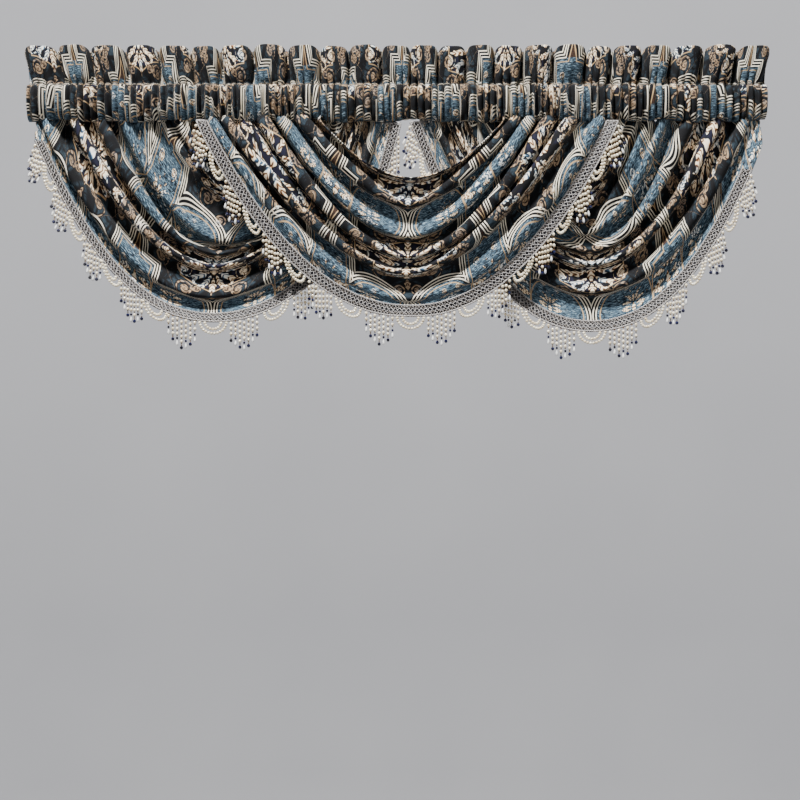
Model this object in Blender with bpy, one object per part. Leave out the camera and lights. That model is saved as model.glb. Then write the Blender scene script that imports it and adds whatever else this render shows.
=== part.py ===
"""Waterfall valance in metres: +X to the viewer's right, +Z up, the show side faces -Y.

The origin is the middle of the heading's top edge. A gathered heading with a rod pocket
carries three swags. The centre swag hangs in front of the two side swags, and each swag
has a braid along its curved edge with a beaded fringe.
"""
import math
from collections import namedtuple

import bmesh
import bpy
from mathutils import Vector
from mathutils.geometry import tessellate_polygon

MM = 0.001

# Cloth and trim thicknesses, and the gap left between neighbouring pieces.
HEADING_THICK = 3.0 * MM
SWAG_THICK = 2.2 * MM
BRAID_THICK = 2.8 * MM
BRAID_WIDTH = 22.0 * MM
PIECE_GAP = 0.3 * MM

# Heading heights, measured down from its top edge.
POCKET_BOTTOM = -121.0 * MM
SEAM_Z = POCKET_BOTTOM - PIECE_GAP
SHIRR_DEPTH = 3.2 * MM
SCALLOP = 3.5 * MM
HEADER_VALLEY_Y = 5.0 * MM

# One puff of the gathered heading, in millimetres: its two valleys, its depth front to back
# and how far the top of the puff stands below the tallest one.
Puff = namedtuple("Puff", "left right depth low")
PUFFS = [
    Puff(-622, -564, 17, 1.0), Puff(-564, -510, 19, 0.0), Puff(-510, -452, 20, 1.5),
    Puff(-452, -397, 18, 0.5), Puff(-397, -343, 17, 1.0), Puff(-343, -294, 18, 2.0),
    Puff(-294, -240, 19, 1.0), Puff(-240, -183, 21, 0.0), Puff(-183, -128, 19, 0.5),
    Puff(-128, -81, 16, 1.5), Puff(-81, -25, 19, 0.0), Puff(-25, 22, 16, 1.0),
    Puff(22, 68, 17, 0.5), Puff(68, 115, 17, 1.5), Puff(115, 162, 18, 0.0),
    Puff(162, 209, 16, 1.0), Puff(209, 261, 19, 0.5), Puff(261, 315, 20, 0.0),
    Puff(315, 358, 16, 2.0), Puff(358, 408, 18, 1.0), Puff(408, 457, 17, 0.5),
    Puff(457, 510, 19, 1.5), Puff(510, 566, 20, 0.0), Puff(566, 622, 18, 1.0),
]

# Stations across one puff: place, share of the puff's depth, share of the fine gather.
Station = namedtuple("Station", "at puff shirr")
STATIONS = [
    Station(0.00, 0.00, -1.0), Station(0.13, 0.80, 0.7), Station(0.31, 0.97, -0.8),
    Station(0.50, 1.00, 1.0), Station(0.69, 0.97, -0.7), Station(0.87, 0.80, 0.8),
]

# Points round the heading's section in millimetres, down the front and up the back.
# puff and shirr say how much of the wide and of the fine gather each point takes, side is
# the face of the doubled cloth it lies on, and spread draws the pocket's ends in.
Ring = namedtuple("Ring", "name y z puff shirr side spread")
OUTER_RINGS = [
    Ring("header top front", 5, 0, 1.00, 0.0, -1, 1.000),
    Ring("header middle front", 5, -31, 1.05, 0.0, -1, 0.990),
    Ring("header foot front", 5, -54, 0.75, 0.0, -1, 0.983),
    Ring("stitch line front", 3, -62, 0.38, 0.3, -1, 0.980),
    Ring("pocket shoulder front", -15.5, -69.5, 0.05, 1.0, 0, 0.980),
    Ring("pocket middle front", -18.5, -92, 0.0, 1.1, 0, 0.980),
    Ring("pocket hip front", -13.8, -113, 0.0, 1.0, 0, 0.980),
    Ring("seam front", -8, -121, 0.0, 0.4, 0, 0.980),
    Ring("seam back", 7, -121, 0.0, -0.2, 0, 0.980),
    Ring("pocket middle back", 15.5, -92, 0.0, -0.5, 0, 0.980),
    Ring("pocket shoulder back", 11.5, -68.5, 0.0, -0.3, 0, 0.980),
    Ring("stitch line back", 3, -62, 0.38, 0.3, 1, 0.980),
    Ring("header foot back", 5, -54, 0.75, 0.0, 1, 0.983),
    Ring("header middle back", 5, -31, 1.05, 0.0, 1, 0.990),
    Ring("header top back", 5, 0, 1.00, 0.0, 1, 1.000),
]
TUNNEL_RINGS = [
    Ring("tunnel shoulder front", -12.4, -72.5, 0.0, 1.0, 0, 0.980),
    Ring("tunnel middle front", -16.1, -92, 0.0, 1.1, 0, 0.980),
    Ring("tunnel foot front", -8.2, -117.6, 0.0, 0.5, 0, 0.980),
    Ring("tunnel foot back", 5.6, -117.6, 0.0, -0.2, 0, 0.980),
    Ring("tunnel middle back", 13.2, -92, 0.0, -0.5, 0, 0.980),
    Ring("tunnel shoulder back", 9.4, -71.5, 0.0, -0.3, 0, 0.980),
]

# One fold of a swag in millimetres, from its rim down to its cut edge: where it starts and
# ends along the seam, where it hangs lowest and how far down, how round its curve is, how
# far its lip stands out, how far the cloth tucks back under it and how many rows draw it.
Fold = namedtuple("Fold", "left middle right drop round out tuck rows")
CENTER_FOLDS = [
    Fold(-124, 23, 170, 103, 1.65, 52, 17, 4),
    Fold(-158, 18, 196, 146, 1.55, 50, 15, 4),
    Fold(-191, 18, 221, 198, 1.70, 52, 17, 4),
    Fold(-224, 18, 251, 231, 1.75, 53, 12, 4),
    Fold(-284, 15, 290, 259, 1.60, 55, 11, 4),
    Fold(-307, 20, 337, 299, 1.85, 47, 2, 2),
    Fold(-314, 22, 347, 309, 2.10, 43, 0, 1),
]
LEFT_FOLDS = [
    Fold(-302, -250, -178, 63, 1.70, 7, 4, 2),
    Fold(-360, -266, -150, 126, 1.70, 13, 7, 3),
    Fold(-453, -284, -122, 203, 1.80, 24, 11, 4),
    Fold(-493, -294, -94, 224, 1.90, 32, 12, 4),
    Fold(-535, -300, -66, 246, 1.90, 40, 14, 4),
    Fold(-584, -304, -34, 295, 2.00, 46, 12, 4),
    Fold(-599, -302, -10, 322, 2.15, 41, 0, 1),
]
RIGHT_FOLDS = [
    Fold(208, 278, 325, 63, 1.70, 7, 4, 2),
    Fold(180, 296, 375, 133, 1.70, 13, 7, 3),
    Fold(150, 310, 440, 189, 1.80, 24, 10, 4),
    Fold(122, 317, 483, 219, 1.90, 32, 12, 4),
    Fold(92, 320, 533, 242, 1.90, 40, 14, 4),
    Fold(62, 320, 576, 286, 2.00, 46, 13, 4),
    Fold(38, 320, 602, 334, 2.15, 41, 0, 1),
]

# How each swag hangs: its base plane at the seam in millimetres in front of the rod's
# middle, which side lies behind the centre swag and how much steeper it climbs there, which
# stretch of its edge is trimmed and how much of the braid's far end has no fringe.
Hang = namedtuple("Hang", "folds base tucked steep first last bare")
SWAG_COLUMNS = 21
HANGS = {
    "left": Hang(LEFT_FOLDS, -2.6, 1, 2.2, 1, SWAG_COLUMNS - 1, 75.0),
    "right": Hang(RIGHT_FOLDS, -1.6, -1, 0.3, 0, SWAG_COLUMNS - 3, 0.0),
    "center": Hang(CENTER_FOLDS, 4.2, 0, 0.0, 0, SWAG_COLUMNS - 1, 0.0),
}
TUCK_SHARE = 0.62
TUCK_START = -0.25
TUCK_LENGTH = 0.75
GATHER_PLEAT = 1.0 * MM

# Beaded fringe: bunches of strands with two hanging loops between neighbouring bunches.
BUNCH_PITCH = 103.0 * MM
STRAND_PITCH = 7.3 * MM
STRAND_WIDTH = 4.2 * MM
STRAND_LENGTHS = [35 * MM, 42 * MM, 48 * MM, 52 * MM, 49 * MM, 43 * MM, 36 * MM]
END_MARGIN = 6.0 * MM
STEEP_TURN = math.radians(40.0)
Loop = namedtuple("Loop", "half depth segments")
LOOPS = [Loop(22.0 * MM, 19.5 * MM, 4), Loop(13.5 * MM, 12.0 * MM, 3)]
LOOP_WIDTH = 3.0 * MM


def mix(a, b, share):
    return a + (b - a) * share


def smooth(value):
    value = min(1.0, max(0.0, value))
    return value * value * (3.0 - 2.0 * value)


def new_object(name, bm, color, roughness):
    """Closes the mesh outwards and gives it a name and a material of its own."""
    bmesh.ops.recalc_face_normals(bm, faces=bm.faces)
    bmesh.ops.triangulate(bm, faces=bm.faces)
    mesh = bpy.data.meshes.new(name)
    bm.to_mesh(mesh)
    bm.free()
    material = bpy.data.materials.new(name + "_material")
    material.use_nodes = True
    shader = material.node_tree.nodes["Principled BSDF"]
    shader.inputs["Base Color"].default_value = (*color, 1.0)
    shader.inputs["Roughness"].default_value = roughness
    shader.inputs["Metallic"].default_value = 0.0
    material.diffuse_color = (*color, 1.0)
    mesh.materials.append(material)
    part = bpy.data.objects.new(name, mesh)
    bpy.context.scene.collection.objects.link(part)
    return part


def heading_stations():
    """Every station along the heading: x, puff wave, fine gather and drop of the top."""
    found = []
    for puff in PUFFS:
        for place in STATIONS:
            x = mix(puff.left, puff.right, place.at) * MM
            wave = place.puff * puff.depth * MM
            low = SCALLOP * (1.0 - place.puff) + puff.low * MM
            found.append((x, wave, place.shirr * SHIRR_DEPTH, low))
    found.append((PUFFS[-1].right * MM, 0.0, -SHIRR_DEPTH, SCALLOP))
    return found


def ring_point(ring, stations, index):
    """One point of the heading's surface."""
    x, wave, shirr, low = stations[index]
    before = stations[max(index - 1, 0)]
    after = stations[min(index + 1, len(stations) - 1)]
    slope = Vector((after[0] - before[0], -(after[1] - before[1]) * ring.puff, 0.0))
    across = Vector((-slope.y, slope.x, 0.0)).normalized()
    y = ring.y * MM - wave * ring.puff - shirr * ring.shirr
    z = ring.z * MM - (low if ring.z == 0 else 0.0)
    point = Vector((x * ring.spread, y, z))
    return point + across * (ring.side * HEADING_THICK / 2.0)


def build_heading():
    """Gathered header with the rod pocket under it: one cloth with a tunnel through it."""
    stations = heading_stations()
    bm = bmesh.new()
    loops = []
    for index in range(len(stations)):
        outer = [bm.verts.new(ring_point(r, stations, index)) for r in OUTER_RINGS]
        inner = [bm.verts.new(ring_point(r, stations, index)) for r in TUNNEL_RINGS]
        loops.append((outer, inner))
    for one, two in zip(loops, loops[1:]):
        for first, second in zip(one, two):
            count = len(first)
            for k in range(count):
                after = (k + 1) % count
                bm.faces.new((first[k], first[after], second[after], second[k]))
    for outer, inner in (loops[0], loops[-1]):
        corners = outer + inner
        flat = [[Vector((v.co.y, v.co.z, 0.0)) for v in ring] for ring in (outer, inner)]
        for triangle in tessellate_polygon(flat):
            bm.faces.new([corners[k] for k in triangle])
    return new_object("heading", bm, (0.085, 0.098, 0.135), 0.82)


def swag_rows(folds):
    """Turns the fold table into rows of cloth: lip, under-side, valley and slope."""
    rows = []
    for fold, below in zip(folds, folds[1:]):
        def between(share):
            spots = (mix(fold.left, below.left, share), mix(fold.middle, below.middle, share))
            return (*spots, mix(fold.right, below.right, share))
        bend = (mix(fold.round, below.round, 0.3), mix(fold.round, below.round, 0.7))
        slope_drop = mix(fold.drop + 5.0, below.drop, 0.60)
        slope_out = mix(fold.out, below.out, 0.62)
        dip = fold.tuck
        rows.append((*between(0.0), fold.drop, fold.round, fold.out, 0.0, 1.0))
        if fold.rows == 4:
            rows.append((*between(0.15), fold.drop + 1.0, fold.round, fold.out, 0.5 * dip, 0.2))
        if fold.rows >= 2:
            rows.append((*between(0.35), fold.drop + 5.0, bend[0], fold.out, dip, -1.0))
        if fold.rows >= 3:
            rows.append((*between(0.70), slope_drop, bend[1], slope_out, 0.26 * dip, -0.2))
    last = folds[-1]
    rows.append((last.left, last.middle, last.right, last.drop, last.round, last.out, 0.0, 0.6))
    return rows


def swag_columns():
    """Places across a swag, from -1 at its left gather to 1 at its right gather."""
    found = []
    for k in range(SWAG_COLUMNS):
        v = 2.0 * k / (SWAG_COLUMNS - 1) - 1.0
        found.append(0.5 * (v + math.sin(0.5 * math.pi * v)))
    return found


def swag_grid(hang):
    """Middle surface of a swag: rows from its rim to its edge, points left to right."""
    grid = []
    for left, middle, right, drop, bend, out, dip, pleat in swag_rows(hang.folds):
        line = []
        for u in swag_columns():
            tucked = 0.0
            if hang.tucked:
                tucked = smooth((u * hang.tucked - TUCK_START) / TUCK_LENGTH)
            steep = hang.steep * abs(u) ** 3 if u * hang.tucked > 0.0 else 0.0
            shape = max(0.0, 1.0 - abs(u) ** (bend + steep))
            reach = shape ** 0.38 * (1.0 - TUCK_SHARE * tucked)
            fold = dip * shape ** 0.2 * (1.0 - 0.5 * tucked)
            end = right if u > 0.0 else left
            x = mix(middle, end, abs(u)) * MM
            y = (fold - hang.base - (out - hang.base) * reach) * MM
            y -= GATHER_PLEAT * pleat * (1.0 - shape)
            line.append(Vector((x, y, SEAM_Z - drop * shape * MM)))
        grid.append(line)
    return grid


def grid_normals(grid):
    """Directions towards the show side at every point of a swag's middle surface."""
    rows, columns = len(grid), len(grid[0])
    normals = []
    for i in range(rows):
        line = []
        for j in range(columns):
            down = grid[min(i + 1, rows - 1)][j] - grid[max(i - 1, 0)][j]
            along = grid[i][min(j + 1, columns - 1)] - grid[i][max(j - 1, 0)]
            normal = down.cross(along)
            if j in (0, columns - 1):
                normal = Vector((normal.x, normal.y, 0.0))
            line.append(normal.normalized())
        normals.append(line)
    return normals


def build_swag(name, hang):
    """One sheet of cloth, gathered at both ends and draped in folds between them."""
    grid = swag_grid(hang)
    normals = grid_normals(grid)
    rows, columns = len(grid), len(grid[0])
    bm = bmesh.new()
    faces = []
    for side in (1.0, -1.0):
        offset = side * SWAG_THICK / 2.0
        faces.append([[bm.verts.new(grid[i][j] + normals[i][j] * offset)
                       for j in range(columns)] for i in range(rows)])
    for sheet in faces:
        for i in range(rows - 1):
            for j in range(columns - 1):
                bm.faces.new((sheet[i][j], sheet[i][j + 1], sheet[i + 1][j + 1], sheet[i + 1][j]))
    front, back = faces
    rim = [(0, j) for j in range(columns)]
    rim += [(i, columns - 1) for i in range(1, rows)]
    rim += [(rows - 1, j) for j in range(columns - 2, -1, -1)]
    rim += [(i, 0) for i in range(rows - 2, 0, -1)]
    for k, (i, j) in enumerate(rim):
        m, n = rim[(k + 1) % len(rim)]
        bm.faces.new((front[i][j], front[m][n], back[m][n], back[i][j]))
    return new_object(name, bm, (0.095, 0.110, 0.145), 0.80)


class BraidLine:
    """The lower edge of a braid, walked by length from its middle."""

    def __init__(self, hang):
        grid = swag_grid(hang)
        normals = grid_normals(grid)
        columns = range(hang.first, hang.last + 1)
        edge = grid[-1]
        self.upper, self.lower, self.normals, self.outs = [], [], [], []
        for j in columns:
            along = edge[min(j + 1, len(edge) - 1)] - edge[max(j - 1, 0)]
            normal = normals[-1][j]
            out = along.cross(normal).normalized()
            if out.z > 0.0:
                out.negate()
            self.upper.append(edge[j] + out * PIECE_GAP)
            self.lower.append(edge[j] + out * (PIECE_GAP + BRAID_WIDTH))
            self.normals.append(normal)
            self.outs.append(out)
        steps = [(b - a).length for a, b in zip(self.lower, self.lower[1:])]
        middle = (SWAG_COLUMNS - 1) // 2 - hang.first
        start = -sum(steps[:middle])
        self.places = [start]
        for step in steps:
            self.places.append(self.places[-1] + step)

    def at(self, place):
        """Point, forward direction, outward direction and tangent at one place."""
        k = 0
        while k < len(self.places) - 2 and self.places[k + 1] < place:
            k += 1
        share = (place - self.places[k]) / (self.places[k + 1] - self.places[k])
        point = self.lower[k].lerp(self.lower[k + 1], share)
        normal = self.normals[k].lerp(self.normals[k + 1], share).normalized()
        out = self.outs[k].lerp(self.outs[k + 1], share).normalized()
        tangent = (self.lower[k + 1] - self.lower[k]).normalized()
        return point, normal, out, tangent

    def hanging(self, place):
        """Direction a strand hangs in: down, leaning away where the edge is steep."""
        point, normal, out, tangent = self.at(place)
        falling = Vector((tangent.x, 0.0, tangent.z)).normalized()
        if falling.z > 0.0:
            falling.negate()
        if math.acos(min(1.0, -falling.z)) >= STEEP_TURN:
            return Vector((0.0, 0.0, -1.0))
        away = Vector((out.x, 0.0, out.z)).normalized()
        return (falling * math.cos(STEEP_TURN) + away * math.sin(STEEP_TURN)).normalized()


def fringe_roots(line, bare):
    """Every root along a braid: start, end, kind and number."""
    roots = []
    first = BUNCH_PITCH / 2.0
    half = 3.0 * STRAND_PITCH + STRAND_WIDTH / 2.0 + END_MARGIN
    centers = []
    for side, end in ((-1.0, -line.places[0]), (1.0, line.places[-1] - bare)):
        count = round((end - half - first) / BUNCH_PITCH)
        pitch = (end - half - first) / count
        centers += [side * (first + k * pitch) for k in range(count + 1)]
    centers.sort()
    for center in centers:
        for k in range(len(STRAND_LENGTHS)):
            at = center + (k - 3) * STRAND_PITCH
            roots.append((at - STRAND_WIDTH / 2.0, at + STRAND_WIDTH / 2.0, "strand", k))
    for a, b in zip(centers, centers[1:]):
        for number, loop in enumerate(LOOPS):
            for side in (-1.0, 1.0):
                at = (a + b) / 2.0 + side * loop.half
                kind = "loop start" if side < 0.0 else "loop end"
                roots.append((at - LOOP_WIDTH / 2.0, at + LOOP_WIDTH / 2.0, kind, number))
    return sorted(roots)


def lower_places(line, roots):
    """Places of the braid's lower corners: both ends of each root and the bends between."""
    places = [p for root in roots for p in root[:2]]
    for bend in line.places:
        clear = all(bend < root[0] - 1.0 * MM or bend > root[1] + 1.0 * MM for root in roots)
        if clear:
            places.append(bend)
    return sorted(places)


def zip_faces(bm, upper, upper_at, lower, lower_at):
    """Fills the face between two rows of corners with triangles."""
    i = j = 0
    while i < len(upper) - 1 or j < len(lower) - 1:
        go_up = j == len(lower) - 1
        if i < len(upper) - 1 and not go_up:
            go_up = upper_at[i + 1] <= lower_at[j + 1]
        if go_up:
            bm.faces.new((upper[i], upper[i + 1], lower[j]))
            i += 1
        else:
            bm.faces.new((upper[i], lower[j + 1], lower[j]))
            j += 1


def add_strand(bm, line, root, corners):
    """One hanging strand on its root."""
    way = line.hanging((root[0] + root[1]) / 2.0) * STRAND_LENGTHS[root[3]]
    tips = [bm.verts.new(v.co + way) for v in corners]
    for k in range(4):
        after = (k + 1) % 4
        bm.faces.new((corners[k], corners[after], tips[after], tips[k]))
    bm.faces.new(tips)


def add_loop(bm, line, start, end, first, last):
    """One hanging loop between two roots."""
    loop = LOOPS[start[3]]
    middle = (start[0] + end[1]) / 2.0
    down = line.hanging(middle)
    begin = sum((v.co for v in first), Vector()) / 4.0
    finish = sum((v.co for v in last), Vector()) / 4.0
    center = (begin + finish) / 2.0
    half = (finish - begin) / 2.0
    normal = (first[0].co - first[3].co).normalized()
    previous = first
    for k in range(1, loop.segments):
        turn = math.pi * k / loop.segments
        way = half * -math.cos(turn) + down * (loop.depth * math.sin(turn))
        spot = center + way
        side = way.normalized() * (LOOP_WIDTH / 2.0)
        face = normal * (BRAID_THICK / 2.0)
        ring = [spot + side + face, spot - side + face, spot - side - face, spot + side - face]
        ring = [bm.verts.new(p) for p in ring]
        for m in range(4):
            after = (m + 1) % 4
            bm.faces.new((previous[m], previous[after], ring[after], ring[m]))
        previous = ring
    landing = [last[1], last[0], last[3], last[2]]
    for m in range(4):
        after = (m + 1) % 4
        bm.faces.new((previous[m], previous[after], landing[after], landing[m]))


def build_trim(name, hang):
    """Braid strip along a swag's edge with its strands and loops fused to it."""
    line = BraidLine(hang)
    roots = fringe_roots(line, hang.bare * MM)
    places = lower_places(line, roots)
    half = BRAID_THICK / 2.0
    bm = bmesh.new()
    pairs = list(zip(line.upper, line.normals))
    upper_front = [bm.verts.new(p + n * half) for p, n in pairs]
    upper_back = [bm.verts.new(p - n * half) for p, n in pairs]
    lower = [line.at(place) for place in places]
    lower_front = [bm.verts.new(spot[0] + spot[1] * half) for spot in lower]
    lower_back = [bm.verts.new(spot[0] - spot[1] * half) for spot in lower]
    zip_faces(bm, upper_front, line.places, lower_front, places)
    zip_faces(bm, upper_back, line.places, lower_back, places)
    for k in range(len(upper_front) - 1):
        bm.faces.new((upper_front[k], upper_front[k + 1], upper_back[k + 1], upper_back[k]))
    for k in (0, -1):
        bm.faces.new((upper_front[k], lower_front[k], lower_back[k], upper_back[k]))
    taken = {root[0]: root for root in roots}
    open_loops = {}
    for k in range(len(places) - 1):
        corners = (lower_front[k], lower_front[k + 1], lower_back[k + 1], lower_back[k])
        root = taken.get(places[k])
        if root is None:
            bm.faces.new(corners)
        elif root[2] == "strand":
            add_strand(bm, line, root, corners)
        elif root[2] == "loop start":
            open_loops[root[3]] = (root, corners)
        else:
            start, first = open_loops.pop(root[3])
            add_loop(bm, line, start, root, first, corners)
    return new_object(name, bm, (0.255, 0.235, 0.225), 0.55)


def main():
    for old in list(bpy.data.objects):
        bpy.data.objects.remove(old, do_unlink=True)
    build_heading()
    for side, hang in HANGS.items():
        build_swag("swag_" + side, hang)
        build_trim("trim_" + side, hang)


main()
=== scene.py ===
"""Looks of a waterfall valance: gathered heading, three draped swags, braid and beads.

Metres, +X to the viewer's right, +Z up, the show side faces -Y. The origin is the middle of
the heading's top edge. Every cloth starts as a flat grid and is then laid in its folds.
"""

import math
from collections import namedtuple

import bmesh
import bpy
import numpy as np
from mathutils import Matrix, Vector


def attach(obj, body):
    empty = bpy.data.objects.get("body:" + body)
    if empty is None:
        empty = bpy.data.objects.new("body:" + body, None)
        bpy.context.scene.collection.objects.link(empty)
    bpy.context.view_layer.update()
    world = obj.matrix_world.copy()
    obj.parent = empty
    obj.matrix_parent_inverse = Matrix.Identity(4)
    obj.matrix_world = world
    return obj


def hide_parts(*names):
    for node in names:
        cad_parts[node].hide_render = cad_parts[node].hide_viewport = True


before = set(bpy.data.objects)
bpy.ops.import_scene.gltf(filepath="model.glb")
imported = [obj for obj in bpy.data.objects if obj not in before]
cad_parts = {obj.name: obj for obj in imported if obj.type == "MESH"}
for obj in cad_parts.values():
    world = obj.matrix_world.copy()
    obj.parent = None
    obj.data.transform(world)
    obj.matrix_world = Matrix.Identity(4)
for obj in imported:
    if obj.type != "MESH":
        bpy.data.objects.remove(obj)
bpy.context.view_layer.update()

MM = 0.001

# The cloth's thickness and the height of the seam under the heading.
CLOTH_THICK = 1.2 * MM
SEAM_Z = -121.3 * MM

# The heading in millimetres: the step between the header's two layers, the depth and pitch of
# the pocket's gathers, how far the header's edge dips between two puffs and how deep the slot
# there is. Then in shares of a puff's width: how far it swells sideways over its slots, how much
# a slot takes and how unevenly. PUFF_SQUARE is how square a puff is, and how unevenly.
HEADING_LAYER = 3.0
SHIRR_DEPTH = 6.4
GATHER_PITCH = 11.8
SCALLOP = 4.5
VALLEY_DEPTH = 11.5
PUFF_BULGE = 0.085
SLOT_SHARE = (0.20, 0.05)
PUFF_SQUARE = (3.1, 0.5)

# One puff of the gathered heading, in millimetres: its two valleys, its depth and how far its
# top stands below the tallest one.
Puff = namedtuple("Puff", "left right depth low")
PUFFS = [
    Puff(-622, -564, 17, 1.0), Puff(-564, -510, 19, 0.0), Puff(-510, -452, 20, 1.5),
    Puff(-452, -397, 18, 0.5), Puff(-397, -343, 17, 1.0), Puff(-343, -294, 18, 2.0),
    Puff(-294, -240, 19, 1.0), Puff(-240, -183, 21, 0.0), Puff(-183, -128, 19, 0.5),
    Puff(-128, -81, 16, 1.5), Puff(-81, -25, 19, 0.0), Puff(-25, 22, 16, 1.0),
    Puff(22, 68, 17, 0.5), Puff(68, 115, 17, 1.5), Puff(115, 162, 18, 0.0),
    Puff(162, 209, 16, 1.0), Puff(209, 261, 19, 0.5), Puff(261, 315, 20, 0.0),
    Puff(315, 358, 16, 2.0), Puff(358, 408, 18, 1.0), Puff(408, 457, 17, 0.5),
    Puff(457, 510, 19, 1.5), Puff(510, 566, 20, 0.0), Puff(566, 622, 18, 1.0),
]
PUFF_COLUMNS = 32

# The room kept for a rod in the pocket, in millimetres: its height, half of its tall side, the
# nearest that the cloth's middle comes in front of it and behind it, and how much nearer above
# and below it, over how much height.
ROD_Z = -90.0
ROD_HALF = 13.5
ROD_FRONT = -9.9
ROD_BACK = 9.4
ROD_EASE = 7.0
ROD_EASE_HEIGHT = 9.0

# Points of the heading's section in millimetres, from the seam up the front, over the top and
# down the back: place, share of the puffs and of the fine gathers, layer and end spread.
Ring = namedtuple("Ring", "name y z puff shirr side spread")
HEADING_RINGS = [
    Ring("seam middle front", -0.8, -123.2, 0.00, 0.3, 0, 0.980),
    Ring("seam front", -8.0, -120.6, 0.00, 1.0, 0, 0.980),
    Ring("pocket hip front", -13.4, -112.0, 0.00, 1.2, 0, 0.980),
    Ring("pocket middle front", -18.5, -92.0, 0.00, 1.1, 0, 0.980),
    Ring("pocket shoulder front", -15.5, -69.5, 0.05, 1.0, 0, 0.980),
    Ring("stitch line front", 3.0, -62.0, 0.38, 0.7, -1, 0.980),
    Ring("header foot front", 5.0, -54.0, 0.75, 0.2, -1, 0.983),
    Ring("header middle front", 5.0, -31.0, 1.05, 0.0, -1, 0.990),
    Ring("header top front", 5.0, -1.5, 1.00, 0.0, -1, 1.000),
    Ring("header top", 5.0, 0.3, 1.00, 0.0, 0, 1.000),
    Ring("header top back", 5.0, -1.5, 1.00, 0.0, 1, 1.000),
    Ring("header middle back", 5.0, -31.0, 1.05, 0.0, 1, 0.990),
    Ring("header foot back", 5.0, -54.0, 0.75, 0.0, 1, 0.983),
    Ring("stitch line back", 3.0, -62.0, 0.38, 0.3, 1, 0.980),
    Ring("pocket shoulder back", 11.5, -68.5, 0.00, -0.3, 0, 0.980),
    Ring("pocket middle back", 15.5, -92.0, 0.00, -0.5, 0, 0.980),
    Ring("seam back", 7.0, -121.0, 0.00, -0.2, 0, 0.980),
    Ring("seam middle back", 0.8, -122.0, 0.00, 0.0, 0, 0.980),
]

# Rows of cloth from ring to ring in front and behind, and the number of the ring at the top.
RING_STEPS = 3
BACK_STEPS = 2
TOP_RING = 9

# One fold of a swag in millimetres, from its rim down to its cut edge: where it starts and
# ends along the seam, where it hangs lowest and how far down, how round its curve is, how
# far its lip stands out, how far the cloth tucks back under it and how many rows draw it.
Fold = namedtuple("Fold", "left middle right drop round out tuck rows")
CENTER_FOLDS = [
    Fold(-124, 23, 170, 103, 1.65, 52, 17, 4),
    Fold(-158, 18, 196, 146, 1.55, 50, 15, 4),
    Fold(-191, 18, 221, 198, 1.70, 52, 17, 4),
    Fold(-224, 18, 251, 231, 1.75, 53, 12, 4),
    Fold(-284, 15, 290, 259, 1.60, 55, 11, 4),
    Fold(-307, 20, 337, 299, 1.85, 47, 2, 2),
    Fold(-314, 22, 347, 309, 2.10, 43, 0, 1),
]
LEFT_FOLDS = [
    Fold(-302, -250, -178, 63, 1.70, 7, 4, 2),
    Fold(-360, -266, -150, 126, 1.70, 13, 7, 3),
    Fold(-453, -284, -122, 203, 1.80, 24, 11, 4),
    Fold(-493, -294, -94, 224, 1.90, 32, 12, 4),
    Fold(-535, -300, -66, 246, 1.90, 40, 14, 4),
    Fold(-584, -304, -34, 295, 2.00, 46, 12, 4),
    Fold(-599, -302, -10, 322, 2.15, 41, 0, 1),
]
RIGHT_FOLDS = [
    Fold(208, 278, 325, 63, 1.70, 7, 4, 2),
    Fold(180, 296, 375, 133, 1.70, 13, 7, 3),
    Fold(150, 310, 440, 189, 1.80, 24, 10, 4),
    Fold(122, 317, 483, 219, 1.90, 32, 12, 4),
    Fold(92, 320, 533, 242, 1.90, 40, 14, 4),
    Fold(62, 320, 576, 286, 2.00, 46, 13, 4),
    Fold(38, 320, 602, 334, 2.15, 41, 0, 1),
]

# A soft crease, laid one by one: the fold it lies at, its place and reach across the swag, its
# width in folds, how far it leans and its depth in millimetres, less than 0 for a ridge.
Crease = namedtuple("Crease", "fold at reach width lean depth")
CENTER_CREASES = [
    Crease(0.35, -0.55, 0.22, 0.16, 0.9, 2.4), Crease(0.50, 0.50, 0.20, 0.14, -0.8, 2.2),
    Crease(1.45, -0.40, 0.30, 0.15, 0.5, 2.6), Crease(1.55, 0.35, 0.28, 0.14, -0.7, 2.2),
    Crease(2.55, -0.62, 0.25, 0.16, 0.6, 2.6), Crease(2.60, 0.60, 0.22, 0.14, -0.5, 2.0),
    Crease(3.50, -0.30, 0.26, 0.16, 0.4, 1.8), Crease(3.60, 0.45, 0.30, 0.15, -0.6, 2.4),
    Crease(4.45, -0.55, 0.30, 0.15, 0.5, 2.6), Crease(4.60, 0.20, 0.26, 0.16, -0.3, 1.6),
    Crease(4.75, 0.68, 0.20, 0.12, -0.6, 2.2), Crease(5.40, -0.20, 0.40, 0.20, 0.2, -1.2),
]
LEFT_CREASES = [
    Crease(1.18, -0.30, 0.36, 0.14, 0.6, 4.0), Crease(1.62, -0.12, 0.30, 0.12, 0.4, 3.4),
    Crease(1.22, 0.30, 0.30, 0.14, -0.5, 4.0), Crease(2.30, -0.18, 0.30, 0.12, 0.3, 2.6),
    Crease(1.60, -0.30, 0.35, 0.14, 0.5, 2.2), Crease(1.50, 0.25, 0.30, 0.12, -0.6, 2.0),
    Crease(2.50, -0.55, 0.25, 0.16, 0.6, 2.6), Crease(3.55, -0.35, 0.35, 0.15, 0.4, 2.2),
    Crease(3.50, 0.35, 0.25, 0.14, -0.5, 2.0), Crease(4.55, -0.60, 0.28, 0.16, 0.7, 2.8),
    Crease(4.60, 0.10, 0.30, 0.15, -0.3, 1.8), Crease(5.35, -0.45, 0.35, 0.20, 0.3, -1.4),
]
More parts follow.
